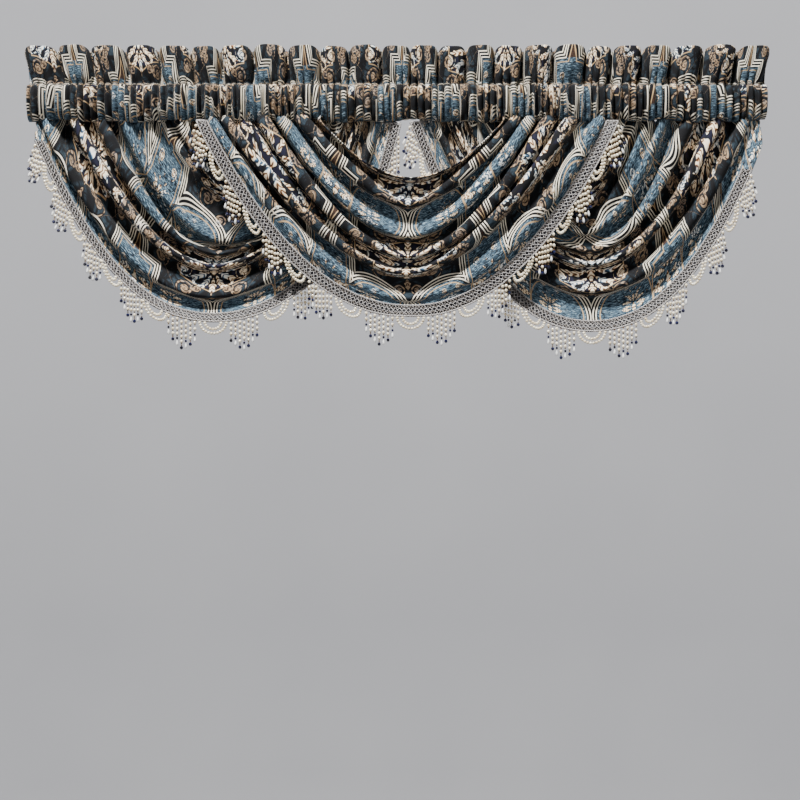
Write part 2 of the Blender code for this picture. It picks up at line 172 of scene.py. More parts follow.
RIGHT_CREASES = [
    Crease(1.18, 0.32, 0.36, 0.14, -0.6, 4.0), Crease(1.60, 0.14, 0.30, 0.12, -0.4, 3.2),
    Crease(1.24, -0.28, 0.30, 0.14, 0.5, 4.0), Crease(2.32, 0.16, 0.30, 0.12, -0.3, 2.4),
    Crease(1.55, 0.30, 0.32, 0.14, -0.5, 2.2), Crease(1.60, -0.25, 0.30, 0.12, 0.6, 1.8),
    Crease(2.55, 0.50, 0.28, 0.16, -0.6, 2.6), Crease(3.50, 0.20, 0.35, 0.15, -0.4, 2.0),
    Crease(3.60, 0.65, 0.22, 0.14, -0.7, 2.4), Crease(4.50, 0.55, 0.30, 0.16, -0.6, 2.8),
    Crease(4.60, -0.15, 0.30, 0.15, 0.3, 1.8), Crease(5.40, 0.40, 0.40, 0.20, -0.3, -1.4),
]

# Rolls of cloth at the left and the right gather of each swag, counted at each fold.
LEFT_ROLLS = [(0, 1, 4, 5, 6, 7, 7.5), (0, 1, 2, 3, 4, 5, 5.5)]
RIGHT_ROLLS = [(0, 1, 2, 3, 4, 5, 5.5), (0, 1, 4, 5, 6, 7, 7.5)]
CENTER_ROLLS = [(0, 1, 2, 3, 5, 6, 6.2), (0, 1, 2, 3, 4, 5, 5.4)]

# How each swag hangs, in millimetres: the depth of its rolls, its base plane at the seam, which
# side lies behind the centre swag and how much steeper it climbs there, the first and the last
# corner of the edge that are trimmed, how much of the braid's far end has single strands in
# place of bunches, and where the woven pattern starts on it.
Hang = namedtuple("Hang", "folds creases rolls deep base tucked steep first last bare across down")
HANGS = {
    "left": Hang(LEFT_FOLDS, LEFT_CREASES, LEFT_ROLLS, deep=13.0, base=-2.6, tucked=1, steep=2.2,
                 first=1, last=20, bare=75.0, across=143.0, down=6.0),
    "right": Hang(RIGHT_FOLDS, RIGHT_CREASES, RIGHT_ROLLS, deep=13.0, base=-1.6, tucked=-1,
                  steep=0.3, first=0, last=18, bare=0.0, across=143.0, down=6.0),
    "center": Hang(CENTER_FOLDS, CENTER_CREASES, CENTER_ROLLS, deep=9.0, base=4.2, tucked=0,
                   steep=0.0, first=0, last=20, bare=0.0, across=143.0, down=16.0),
}

# Corners along a solid swag's edge and points where the braid follows it, columns of cloth across
# a swag and rows of cloth for each row of its folds.
EDGE_COLUMNS = 21
EDGE_POINTS = 900
SWAG_COLUMNS = 168
ROW_STEPS = 7

# How much of its relief a side swag loses behind the centre swag, from which place across it
# and over which length. Then in shares of the rolls' depth: how far a roll rises, and how far
# the gaps between rolls fall on the centre swag and on a side swag.
TUCK_SHARE = 0.62
TUCK_START = -0.25
TUCK_LENGTH = 0.75
ROLL_RISE = 1.6
ROLL_FALL = (0.6, 1.1)

# The hem behind the braid in millimetres, row by row: how far out from the edge and how far
# back. Then how far the cloth's two ends step to the right, back and up under the heading.
HEM_ROWS = [(4.0, 1.6), (12.0, 2.4), (20.0, 2.4)]
END_STEP = (0.0, 1.0, 7.0)

# How the woven pattern meets the folds, in millimetres: the cloth out of sight in each tuck,
# valley and gather and how unevenly, how far the cloth of a puff is eased and that of a gather
# pulled up or down, and how much farther down the pattern starts on the heading and on its
# pocket. GATHER_WIDTH is the cloth that shows on each millimetre of the pocket.
HIDDEN_IN_TUCK = 38.0
HIDDEN_IN_VALLEY = (44.0, 24.0)
HIDDEN_IN_GATHER = (17.0, 9.0)
PUFF_EASED = 16.0
GATHER_PULLED = 17.0
GATHER_WIDTH = 1.15
HEADING_DOWN = -126.0
POCKET_DOWN = -52.0

# Braid and bunches in millimetres: the gap to the cloth's edge, the braid's width, then how the
# bunches and their strands are spaced, the strands' lengths and the least end without a bunch.
BRAID_GAP = 0.3
BRAID_WIDTH = 22.0
BUNCH_PITCH = 103.0
STRAND_PITCH = 7.3
STRAND_WIDTH = 4.2
STRAND_LENGTHS = [35.0, 42.0, 48.0, 52.0, 49.0, 43.0, 36.0]
MIDDLE_STRAND = len(STRAND_LENGTHS) // 2
END_MARGIN = 6.0

# The single strands at a braid's far end: how far back from its end, how far aside and how
# long. An edge that falls within STEEP_TURN of straight down is steep, and the strands on it
# lean away from it by as much. Then how far behind the braid's middle the single strands hang,
# and how far up the braid the others are sewn on.
END_STRANDS = [(2.0, 13.0, 50.0), (2.0, 6.5, 68.0), (4.0, 0.0, 73.0), (24.0, -1.0, 64.0),
               (44.0, -1.5, 52.0), (62.0, -2.0, 42.0)]
STEEP_TURN = math.radians(40.0)
SINGLE_LIFT = -1.5
SEWN_UP = 0.5

# The hanging loops between two bunches: half their span, their depth and their pearls.
Loop = namedtuple("Loop", "half depth beads")
LOOPS = [Loop(22.0, 19.5, 14), Loop(13.5, 12.0, 9)]

# One strand in millimetres: its start below the braid and how much lower every other strand
# starts, its highest seed, the pitch of its pearls, and a pearl and the seed under it.
STRAND_START = 1.0
STRAND_STAGGER = 3.4
HIGHEST_SEED = 1.4
PEARL_PITCH = 6.9
PEARL_DOWN = 2.8
SEED_DOWN = 6.3

# The woven pattern in its own units: its repeat, then one lobed frame with a round lobe on each
# side, an upright box and a pointed spire. Then, counted outwards from the frame's edge, the
# pitch and half width of its lines and half of the strip they fill, the fine line inside it, the
# dark band round it and the rim beyond. Then the diamond between two frames, the sprig, and the
# twill's pitch. PATTERN_SCALE is the size of one unit in millimetres.
PATTERN_SCALE = 0.84
REPEAT_ACROSS = 340.0
REPEAT_DOWN = 400.0
LOBE_AT = 98.0
LOBE_RADIUS = 64.0
BOX_HALF = (48.0, 104.0)
SPIRE_HALF = (34.0, 190.0)
LINE_PITCH = 5.8
LINE_HALF = 1.12
LINES_HALF = 7.6
INNER_LINE_AT = -8.0
BAND_AT = 34.5
BAND_HALF = 21.0
RIM_AT = 56.0
DIAMOND_HALF = (8.0, 10.0)
SPRIG_FROM = 84.0
SPRIG_AT = 118.0
TWILL_PITCH = 1.5

# The camera's lens in millimetres and its place, square to the show side as in the photo.
LENS = 70.5
CAMERA_PLACE = (0.005, -2.6, -0.586)

# The backdrop's section in metres, from the middle of the floor out and up.
BACKDROP = [(0.0, -3.2), (4.6, -3.2), (5.4, -3.05), (5.9, -2.6), (6.1, -1.8), (6.1, 3.4)]

# Soft lights: place, the point each one faces, its two sides in metres and its watts.
Lamp = namedtuple("Lamp", "name place aim size power")
LAMPS = [
    Lamp("softbox above", (-1.0, -2.2, 4.45), (0.0, 0.0, -0.25), (0.8, 0.8), 990.0),
    Lamp("softbox right", (2.4, -2.8, 0.6), (0.0, 0.0, -0.25), (1.2, 1.2), 18.0),
    Lamp("backdrop light", (0.0, 1.6, 2.6), (0.0, 6.0, -0.9), (3.0, 3.0), 230.0),
]


def smooth(value):
    """0 below 0 and 1 above 1, with an even swing from the one to the other."""
    value = np.clip(value, 0.0, 1.0)
    return value * value * (3.0 - 2.0 * value)


def through(rows, gaps, steps):
    """Points on smooth curves through rows of points, with its steps for each gap."""
    rows = np.concatenate([[2 * rows[0] - rows[1]], rows, [2 * rows[-1] - rows[-2]]])
    gaps = np.concatenate([gaps[:1], gaps, gaps[-1:]])
    found = []
    for k in range(1, len(rows) - 2):
        before, here, there, after = rows[k - 1:k + 3]
        a, b, c = gaps[k - 1:k + 2]
        leave = ((here - before) / a - (there - before) / (a + b)) * b + there - here
        arrive = ((after - there) / c - (after - here) / (b + c)) * b + there - here
        for t in np.arange(steps[k - 1]) / steps[k - 1]:
            t2, t3 = t * t, t * t * t
            found.append((2 * t3 - 3 * t2 + 1) * here + (t3 - 2 * t2 + t) * leave
                         + (3 * t2 - 2 * t3) * there + (t3 - t2) * arrive)
    found.append(rows[-2])
    return np.array(found)


def steps_between(points, axis):
    """Lengths of the steps between neighbouring points."""
    return np.linalg.norm(np.diff(points, axis=axis), axis=-1)


def walked(steps, axis=0):
    """How far each point lies from the first one, from the lengths of the steps between them."""
    start = np.zeros_like(np.take(steps, [0], axis))
    return np.concatenate([start, np.cumsum(steps, axis)], axis)


def grid_normals(grid):
    """Directions towards the show side at every point of a grid of cloth."""
    down = np.gradient(grid, axis=0)
    along = np.gradient(grid, axis=1)
    normal = np.cross(down, along)
    length = np.linalg.norm(normal, axis=-1, keepdims=True)
    return normal / np.maximum(length, 1e-12)


def grid_area(grid):
    """Area of a grid of cloth."""
    down = grid[1:, :-1] - grid[:-1, :-1]
    along = grid[:-1, 1:] - grid[:-1, :-1]
    return float(np.linalg.norm(np.cross(down, along), axis=-1).sum())


def lay_sheet(name, grid, across, down):
    """A flat grid of cloth whose points are then laid at their places in the folds.

    across and down are each point's place on the flat cloth, for the woven pattern.
    """
    rows, columns = grid.shape[0] - 1, grid.shape[1] - 1
    bm = bmesh.new()
    bmesh.ops.create_grid(bm, x_segments=columns, y_segments=rows, size=0.5)
    flat = bm.loops.layers.uv.new("flat_cloth")
    for face in bm.faces:
        face.smooth = True
        for loop in face.loops:
            x, y = loop.vert.co.x, loop.vert.co.y
            i, j = round((0.5 - y) * rows), round((x + 0.5) * columns)
            loop[flat].uv = (across[i, j], down[i, j])
    for vert in bm.verts:
        i, j = round((0.5 - vert.co.y) * rows), round((vert.co.x + 0.5) * columns)
        vert.co = grid[i, j]
    return add_piece(name, bm)


def add_piece(name, bm):
    """A bmesh made into a piece of the scene."""
    mesh = bpy.data.meshes.new(name)
    bm.to_mesh(mesh)
    bm.free()
    piece = bpy.data.objects.new(name, mesh)
    bpy.context.scene.collection.objects.link(piece)
    return piece


def thicken(piece, thickness):
    """Gives a sheet its thickness, half to each side."""
    wall = piece.modifiers.new("cloth thickness", "SOLIDIFY")
    wall.thickness = thickness
    wall.offset = 0.0
    wall.use_even_offset = False


# Heading

def heading_columns():
    """Across the heading: valley, width, place in the puff, depth and drop of each column."""
    found = []
    for number, puff in enumerate(PUFFS):
        last = number == len(PUFFS) - 1
        for k in range(PUFF_COLUMNS + (1 if last else 0)):
            found.append((puff.left, puff.right - puff.left, k / PUFF_COLUMNS,
                          puff.depth, puff.low))
    return np.array(found).T


def gather_turns(x):
    """Place along the pocket counted in narrow gathers, uneven in pitch."""
    return x / GATHER_PITCH + 0.22 * np.sin(x / 37.0) + 0.15 * np.sin(x / 13.7 + 1.3)


def fine_gathers(x):
    """Depth shares of the pocket's narrow gathers: round ridges and sharp valleys."""
    size = 0.80 + 0.24 * np.sin(x / 29.0 + 0.7) + 0.16 * np.sin(x / 17.0)
    ridge = np.clip(np.abs(np.sin(math.pi * gather_turns(x))) * 1.28 - 0.28, 0.0, 1.0) ** 0.7
    return 0.9 - size * 2.2 * (1.0 - ridge)


def hidden_cloth(count, amounts):
    """Cloth out of sight in all the valleys up to one of them, in millimetres."""
    even, uneven = amounts
    return even * count + uneven * (np.sin(2.1 * count) + 0.6 * np.sin(3.7 * count + 1.0))


def pulled_cloth(count):
    """How far the cloth of one gather is pulled down before it is sewn, in millimetres."""
    return GATHER_PULLED * (np.sin(2.4 * count) + 0.7 * np.sin(5.3 * count + 1.0))


def heading_grid():
    """Middle of the heading's cloth, in metres, rows from the seam round the section."""
    left, width, place, depth, low = heading_columns()
    section = np.array([ring[1:] for ring in HEADING_RINGS], dtype=float)
    gaps = np.sqrt(steps_between(section[:, :2], 0))[:, None] + 0.3
    steps = [RING_STEPS if k < TOP_RING else BACK_STEPS for k in range(len(gaps))]
    section = through(section, gaps, steps)
    square = PUFF_SQUARE[0] + PUFF_SQUARE[1] * np.sin(left * 0.7)
    slot = SLOT_SHARE[0] + SLOT_SHARE[1] * np.sin(left * 1.3)
    bow = 1.0 - np.clip(np.abs(2.0 * place - 1.0) / (1.0 - slot), 0.0, 1.0) ** square
    dimple = 0.10 * np.sin(4.0 * math.pi * place + depth) * bow
    grid = []
    for y, z, puff, shirr, side, spread in section:
        x = left + width * (place - PUFF_BULGE * puff * np.sin(2.0 * math.pi * place))
        wave = depth * (bow + dimple * puff) - VALLEY_DEPTH * (1.0 - bow) ** 2.0
        top = np.exp(-((z / 14.0) ** 2))
        fall = (SCALLOP * (1.0 - bow) + low) * top
        ripple = 1.0 + 0.10 * np.sin(z / 9.0 + left / 23.0) * (1.0 - top)
        pinch = smooth((-24.0 - z) / 34.0) * (1.0 if z > -63.0 else 0.0)
        gather = SHIRR_DEPTH * (shirr + 0.55 * pinch) * fine_gathers(x)
        sway = 3.2 * np.sin(x / 19.0) * np.sin(x / 47.0 + 1.0) - 0.5 * fine_gathers(x)
        sway *= smooth((-110.0 - z) / 10.0)
        out = y - wave * puff * ripple - gather
        beyond = (abs(z - ROD_Z) - ROD_HALF) / ROD_EASE_HEIGHT
        past = ROD_EASE * smooth(beyond)
        if beyond < 1.0 and y < 0.0:
            out = np.minimum(out, ROD_FRONT + past)
        elif beyond < 1.0:
            out = np.maximum(out, ROD_BACK - past)
        grid.append(np.stack([x * spread, out, z - fall + sway], -1))
    grid = np.array(grid)
    across = np.gradient(grid[..., :2], axis=1)
    across /= np.linalg.norm(across, axis=-1, keepdims=True)
    side = section[:, 4][:, None] * HEADING_LAYER / 2.0
    grid[..., 0] -= across[..., 1] * side
    grid[..., 1] += across[..., 0] * side
    pocket = smooth((-section[:, 1] - 62.3) / 1.5)
    return grid * MM, pocket


def heading_pattern(x, run, drop, pocket):
    """Each point's place in the woven pattern, across and down, in metres.

    x is the place along the heading in millimetres, run and drop are the lengths along the
    header's gathers and down its section, and pocket is 1 on the rows of the pocket.
    """
    puff = np.append(np.repeat(np.arange(len(PUFFS)), PUFF_COLUMNS), len(PUFFS))
    valley = heading_columns()[2]
    turned = 0.5 * smooth((valley - 0.90) / 0.10) + 0.5 * smooth(valley / 0.10)
    hidden = hidden_cloth(puff, HIDDEN_IN_VALLEY)
    more = hidden_cloth(puff + 1.0, HIDDEN_IN_VALLEY) - hidden
    ruffle = run + (hidden + more * turned) * MM
    turns = gather_turns(x) + 0.5
    gather = np.floor(turns)
    turned = smooth((turns % 1.0 - 0.40) / 0.2)
    hidden = hidden_cloth(gather, HIDDEN_IN_GATHER)
    more = hidden_cloth(gather + 1.0, HIDDEN_IN_GATHER) - hidden
    shirred = (GATHER_WIDTH * x + hidden + more * turned) * MM
    shirred += ruffle.mean() - shirred.mean()
    share = pocket[:, None]
    across = ruffle[None, :] * (1.0 - share) + shirred[None, :] * share
    pulled = pulled_cloth(gather)
    pulled += (pulled_cloth(gather + 1.0) - pulled) * turned
    eased = PUFF_EASED * (np.sin(1.9 * puff) + 0.6 * np.sin(4.1 * puff + 2.0))
    top = drop[TOP_RING * RING_STEPS]
    down = (top - drop)[:, None] + (HEADING_DOWN + eased[None, :] * (1.0 - share)) * MM
    down = down + (POCKET_DOWN + pulled[None, :]) * share * MM
    return across, down


def build_heading():
    """Header ruffle and rod pocket in one cloth, folded over at the top."""
    grid, pocket = heading_grid()
    widest = steps_between(grid, 1).sum(axis=1).argmax()
    run = walked(steps_between(grid[widest], 0))
    drop = walked(np.median(steps_between(grid, 0), axis=1))
    across, down = heading_pattern(grid[0, :, 0] / MM, run, drop, pocket)
    piece = lay_sheet("heading_cloth", grid, across, down)
    thicken(piece, CLOTH_THICK)
    return piece, (float(run[-1]), float(drop[-1])), grid_area(grid)


# Swags

def swag_rows(folds):
    """Turns the fold table into rows of cloth: lip, under-side, valley and slope."""
    rows = []
    for number, (fold, below) in enumerate(zip(folds, folds[1:])):
        def row(share, drop, bend, out, dip):
            ends = [(1 - share) * a + share * b for a, b in zip(fold[:3], below[:3])]
            rows.append((*ends, drop, bend, out, dip, number + share))
        bend = [(1 - s) * fold.round + s * below.round for s in (0.3, 0.7)]
        slope_drop = 0.40 * (fold.drop + 5.0) + 0.60 * below.drop
        slope_out = 0.38 * fold.out + 0.62 * below.out
        row(0.0, fold.drop, fold.round, fold.out, 0.0)
        if fold.rows == 4:
            row(0.15, fold.drop + 2.4, fold.round, fold.out, 0.58 * fold.tuck)
        if fold.rows >= 2:
            row(0.35, fold.drop + 8.0, bend[0], fold.out, 1.2 * fold.tuck + 2.5)
        if fold.rows >= 3:
            row(0.70, slope_drop, bend[1], slope_out, 0.85 * fold.tuck + 1.5)
    last = folds[-1]
    rows.append((*last[:3], last.drop, last.round, last.out, 0.0, len(folds) - 1.0))
    return np.array(rows, dtype=float)


def across_swag(places):
    """Spreads even places over a swag, closer together near its two gathers."""
    return 0.5 * (places + np.sin(0.5 * math.pi * places))


def swag_grid(hang, u):
    """Middle surface of a swag on its folds alone, in metres, and each row's fold number."""
    rows = swag_rows(hang.folds)
    tucked = smooth((u * hang.tucked - TUCK_START) / TUCK_LENGTH) if hang.tucked else 0.0 * u
    steep = np.where(u * hang.tucked > 0.0, hang.steep * np.abs(u) ** 3, 0.0)
    grid = []
    for left, middle, right, drop, bend, out, dip, _ in rows:
        shape = np.clip(1.0 - np.abs(u) ** (bend + steep), 0.0, 1.0)
        reach = shape ** 0.38 * (1.0 - TUCK_SHARE * tucked)
        fold = dip * shape ** 0.12 * (1.0 - 0.4 * tucked)
        x = middle + (np.where(u > 0.0, right, left) - middle) * np.abs(u)
        y = fold - hang.base - (out - hang.base) * reach
        grid.append(np.stack([x, y, SEAM_Z / MM - drop * shape], -1))
    return np.array(grid) * MM, rows[:, -1]


def swag_relief(hang, u, level):
    """How far rolls and creases push the cloth out of its folds, in millimetres.

    u is the place across the swag from -1 to 1, and level the fold counted from the top.
    """
    inner = u * hang.tucked if hang.tucked else -np.abs(u)
    near = smooth((np.abs(u) - 0.03) / 0.50)
    folds = np.arange(len(hang.folds))
    counts = [np.interp(level, folds, side) for side in hang.rolls]
    phase = np.where(u < 0.0, counts[0], counts[1]) + 0.05 * np.sin(5.0 * level + 7.0 * u)
    ridge = np.abs(np.cos(math.pi * phase))
    push = hang.deep * near * (ROLL_RISE * ridge - ROLL_FALL[hang.tucked != 0])
    push *= 0.85 + 0.15 * np.sin(3.7 * level + 2.0 * np.sign(u))
    push += 0.7 * np.sin(5.0 * level + 9.0 * u) * np.sin(7.0 * u + 2.0 * level)
    push *= 1.0 - 0.6 * smooth((inner - 0.2) / 0.5)
    for crease in hang.creases:
        lie = level - crease.fold - crease.lean * (u - crease.at)
        hollow = np.exp(-(lie / crease.width) ** 2 - ((u - crease.at) / crease.reach) ** 2)
        push -= crease.depth * hollow
    return push * smooth((len(hang.folds) - 1.0 - level) / 0.5)


def build_swag(name, hang):
    """One sheet of cloth gathered at both ends, with its folds, creases and gathers."""
    u = across_swag(np.linspace(-1.0, 1.0, SWAG_COLUMNS + 1))
    rough, levels = swag_grid(hang, u)
    gaps = np.sqrt(steps_between(rough, 0))[..., None] + 0.01
    grid = through(rough, gaps, [ROW_STEPS] * len(gaps))
    level = np.interp(np.arange(len(grid)) / ROW_STEPS, np.arange(len(levels)), levels)
    push = swag_relief(hang, u, level[:, None])
    grid = grid + grid_normals(grid) * (push * MM)[..., None]

    # The hem behind the braid, and the two ends that step up under the heading.
    edge = grid[-1]
    back = grid_normals(rough)[-1]
    out = edge_outward(edge, back)
    out = out * smooth((1.0 - np.abs(u)) / 0.07)[:, None]
    hem = [edge + out * (far * MM) - back * (behind * MM) for far, behind in HEM_ROWS]
    grid = np.concatenate([grid, hem])
    under = np.array(END_STEP) * MM
    grid = np.concatenate([grid[:, :1] + under, grid, grid[:, -1:] + under], axis=1)

    # The woven pattern is measured from the middle of the cut edge, and runs on through the tucks.
    middle = grid.shape[1] // 2
    runs = walked(steps_between(grid, 1), 1)
    across = runs - runs[:, middle:middle + 1]
    drop = walked(steps_between(grid, 0))
    cut = -1 - len(hem)
    drop = drop * np.clip(drop[cut, middle] / drop[cut], 0.6, 1.8)
    tucks = np.floor(level) + smooth((level % 1.0 - 0.12) / 0.3)
    tucks = np.concatenate([tucks, [tucks[-1]] * len(hem)])
    drop = drop + tucks[:, None] * HIDDEN_IN_TUCK * MM
    drop -= drop[cut]
    piece = lay_sheet(name, grid, across + hang.across * MM, drop + hang.down * MM)
    thicken(piece, CLOTH_THICK)
    flat = (float(runs[:, -1].max()), float(steps_between(grid[:, middle], 0).sum()))
    return piece, flat, grid_area(grid)


# Braid

def edge_outward(edge, normal):
    """Directions away from the cloth along its cut edge, in the plane of the cloth."""
    along = np.gradient(edge, axis=0)
    out = np.cross(along, normal)
    out /= np.linalg.norm(out, axis=-1, keepdims=True)
    return np.where(out[:, 2:3] > 0.0, -out, out)


class Edge:
    """The trimmed stretch of a swag's edge, walked by length in millimetres."""

    def __init__(self, hang):
        corners = across_swag(np.linspace(-1.0, 1.0, EDGE_COLUMNS))
        rough, _ = swag_grid(hang, corners)
        normal = grid_normals(rough)[-1]
        normal[[0, -1], 2] = 0.0
        normal /= np.linalg.norm(normal, axis=-1, keepdims=True)
        lower = rough[-1] + edge_outward(rough[-1], normal) * ((BRAID_GAP + BRAID_WIDTH) * MM)
        used = slice(hang.first, hang.last + 1)
        run = walked(steps_between(lower[used], 0)) / MM
        run -= run[EDGE_COLUMNS // 2 - hang.first]
        self.corner_u, self.corner_run = corners[used], run
        self.start, self.end = run[0], run[-1]
        self.u = np.linspace(corners[hang.first], corners[hang.last], EDGE_POINTS)
        fine, _ = swag_grid(hang, self.u)
        self.edge = fine[-1]
        self.normal = grid_normals(fine)[-1]
        self.out = edge_outward(self.edge, self.normal)

    def at(self, run, down, lift):
        """Points beside the edge: run along it, down across the braid, lift off its middle."""
        u = np.interp(run, self.corner_run, self.corner_u)
        parts = []
        for table in (self.edge, self.out, self.normal):
            parts.append(np.stack([np.interp(u, self.u, table[:, k]) for k in range(3)], -1))
        edge, out, normal = parts
        off = (BRAID_GAP + np.asarray(down)) * MM
        return edge + out * off[..., None] + normal * (np.asarray(lift) * MM)[..., None]

    def hanging(self, run):
        """Direction a strand hangs in: down, leaning away where the edge is steep."""
        here, there = self.at(np.array([run - 2.0, run + 2.0]), BRAID_WIDTH * np.ones(2),
                              np.zeros(2))
        falling = Vector((there[0] - here[0], 0.0, there[2] - here[2])).normalized()
        if falling.z > 0.0:
            falling.negate()
        if math.acos(min(1.0, -falling.z)) >= STEEP_TURN:
            return Vector((0.0, 0.0, -1.0))
        top, foot = self.at(np.array([run, run]), np.array([0.0, BRAID_WIDTH]), np.zeros(2))
        away = Vector((foot[0] - top[0], 0.0, foot[2] - top[2])).normalized()
        return (falling * math.cos(STEEP_TURN) + away * math.sin(STEEP_TURN)).normalized()


def sweep(bm, path, radius, sides, finish):
    """A round cord along a path of points."""
    along = np.gradient(path, axis=0)
    along /= np.linalg.norm(along, axis=-1, keepdims=True)
    side = np.cross(along, np.array([0.0, -1.0, 0.0]))
    side /= np.linalg.norm(side, axis=-1, keepdims=True)
    face = np.cross(side, along)
    turns = np.arange(sides) * 2.0 * math.pi / sides
    rings = [path + radius * (side * math.cos(a) + face * math.sin(a)) for a in turns]
    rings = [[bm.verts.new(p) for p in ring] for ring in rings]
    for k in range(sides):
        one, two = rings[k], rings[(k + 1) % sides]
        for a, b, c, d in zip(one, one[1:], two[1:], two):
            bm.faces.new((a, b, c, d)).material_index = finish
    for index, flip in ((0, False), (-1, True)):
        cap = [ring[index] for ring in rings]
        bm.faces.new(cap[::-1] if flip else cap).material_index = finish


# The cords of the braid in millimetres: its line, swing and pitch, its start in turns, radius
# and finish. Two cross round a row of wide holes, two more on each side round narrow ones, and
# one runs along each edge. Then the step between two points of a cord, its sides, and the
# corners of the section across the braid and off its middle of the near-black sheet behind the
# cords, which is painted shade that darkens the braid's holes.
Cord = namedtuple("Cord", "middle swing pitch turn radius finish")
BRAID_CORDS = [
    Cord(11.0, 3.4, 15.0, 0.0, 0.75, 0), Cord(11.0, 3.4, 15.0, 0.5, 0.75, 0),
    Cord(4.6, 2.4, 10.4, 0.0, 0.62, 1), Cord(4.6, 2.4, 10.4, 0.5, 0.62, 0),
    Cord(17.4, 2.4, 10.4, 0.2, 0.62, 1), Cord(17.4, 2.4, 10.4, 0.7, 0.62, 0),
    Cord(1.4, 0.4, 3.6, 0.0, 1.25, 0), Cord(20.6, 0.4, 3.6, 0.5, 1.25, 0),
]
CORD_STEP = 0.9
CORD_SIDES = 5
HOLE_SHADE_CORNERS = [(0.4, -0.7), (21.6, -0.7), (21.6, -1.2), (0.4, -1.2)]
HOLE_SHADE_COLUMNS = 240


def add_hole_shade_sheet(bm, edge, finish):
    """A near-black sheet behind the openwork: painted shade that darkens the braid's holes."""
    run = np.linspace(edge.start + 0.5, edge.end - 0.5, HOLE_SHADE_COLUMNS)
    rings = []
    for down, lift in HOLE_SHADE_CORNERS:
        path = edge.at(run, np.full(len(run), down), np.full(len(run), lift))
        rings.append([bm.verts.new(p) for p in path])
    for one, two in zip(rings, rings[1:] + rings[:1]):
        for a, b, c, d in zip(one, one[1:], two[1:], two):
            bm.faces.new((a, b, c, d)).material_index = finish
    for index in (0, -1):
        bm.faces.new([ring[index] for ring in rings]).material_index = finish


def build_braid(name, edge):
    """Openwork braid: cords that cross over and under each other between two edge cords."""
    bm = bmesh.new()
    for cord in BRAID_CORDS:
        count = int((edge.end - edge.start) / CORD_STEP)
        run = np.linspace(edge.start + 1.0, edge.end - 1.0, count)
        turn = 2.0 * math.pi * (run / cord.pitch + cord.turn)
        down = cord.middle + cord.swing * np.sin(turn)
        lift = 0.4 + (0.6 if cord.swing > 1.0 else 0.3) * np.cos(turn)
        sweep(bm, edge.at(run, down, lift), cord.radius * MM, CORD_SIDES, cord.finish)
    for face in bm.faces:
        face.smooth = True
    # The near-black sheet behind the cords is painted shade for the braid's holes.
    add_hole_shade_sheet(bm, edge, 2)
    bmesh.ops.recalc_face_normals(bm, faces=bm.faces)
    return add_piece(name, bm)


# Fringe

def bunch_places(edge, bare):
    """Middles of the bunches along a braid, from its left end to its right end."""
    half = MIDDLE_STRAND * STRAND_PITCH + STRAND_WIDTH / 2.0 + END_MARGIN
    first = BUNCH_PITCH / 2.0
    found = []
    for side, end in ((-1.0, -edge.start), (1.0, edge.end - bare)):
        count = round((end - half - first) / BUNCH_PITCH)
        pitch = (end - half - first) / count
        found += [side * (first + k * pitch) for k in range(count + 1)]
    return sorted(found)


Bead = namedtuple("Bead", "mesh points tall")


def make_bead(name, around, along, wide, tall, finish, taper=0.0, smoothed=True):
    """One bead with its hole along Z: half its width and height in millimetres, its finish."""
    bm = bmesh.new()
    bmesh.ops.create_uvsphere(bm, u_segments=around, v_segments=along, radius=1.0)
    for vert in bm.verts:
        pinch = 1.0 - taper * (0.5 + 0.5 * vert.co.z) ** 1.2
        vert.co.x *= pinch
        vert.co.y *= pinch
    points = np.array([vert.co for vert in bm.verts]) * (np.array([wide, wide, tall]) * MM)
    for face in bm.faces:
        face.smooth = smoothed
        face.material_index = finish
    mesh = bpy.data.meshes.new(name)
    bm.to_mesh(mesh)
    bm.free()
    return Bead(mesh, points, tall)


PEARL = make_bead("pearl", 8, 6, 2.6, 2.75, 0)
SEED = make_bead("seed", 6, 4, 1.5, 1.0, 1)
CRYSTAL = make_bead("crystal", 6, 4, 3.1, 3.0, 2, smoothed=False)
DROP = make_bead("drop", 8, 6, 2.7, 5.2, 3, taper=0.72)
LOOP_PEARL = make_bead("loop pearl", 8, 6, 2.6, 2.35, 0)
SMALL_CRYSTAL = make_bead("small crystal", 6, 4, 2.3, 2.2, 2, smoothed=False)


def strand_beads(point, way, length, tip, start):
    """Beads down one strand: pearls with seeds between them and a dark or a clear end."""
    above = SMALL_CRYSTAL if tip is DROP else SEED
    room = length - start - 2.0 * tip.tall - 2.0 * above.tall
    count = int(room / PEARL_PITCH)
    found = [(SEED, point + way * (HIGHEST_SEED * MM), way)] if start > STRAND_START else []
    for k in range(count):
        at = start + k * room / count
        found.append((PEARL, point + way * ((at + PEARL_DOWN) * MM), way))
        found.append((SEED, point + way * ((at + SEED_DOWN) * MM), way))
    found.append((above, point + way * ((length - 2.0 * tip.tall - above.tall) * MM), way))
    found.append((tip, point + way * ((length - tip.tall) * MM), way))
    return found


def loop_beads(edge, middle, loop):
    """Pearls along one hanging loop between two bunches."""
    ends = edge.at(middle + np.array([-loop.half, loop.half]), BRAID_WIDTH * np.ones(2),
                   np.zeros(2))
    begin, finish = Vector(ends[0]), Vector(ends[1])
    down = edge.hanging(middle)
    found = []
    for k in range(loop.beads):
        turn = math.pi * (k + 0.5) / loop.beads
        half = (finish - begin) / 2.0
        way = half * -math.cos(turn) + down * (loop.depth * MM * math.sin(turn))
        lie = half * math.sin(turn) + down * (loop.depth * MM * math.cos(turn))
        found.append((LOOP_PEARL, (begin + finish) / 2.0 + way, lie.normalized()))
    return found


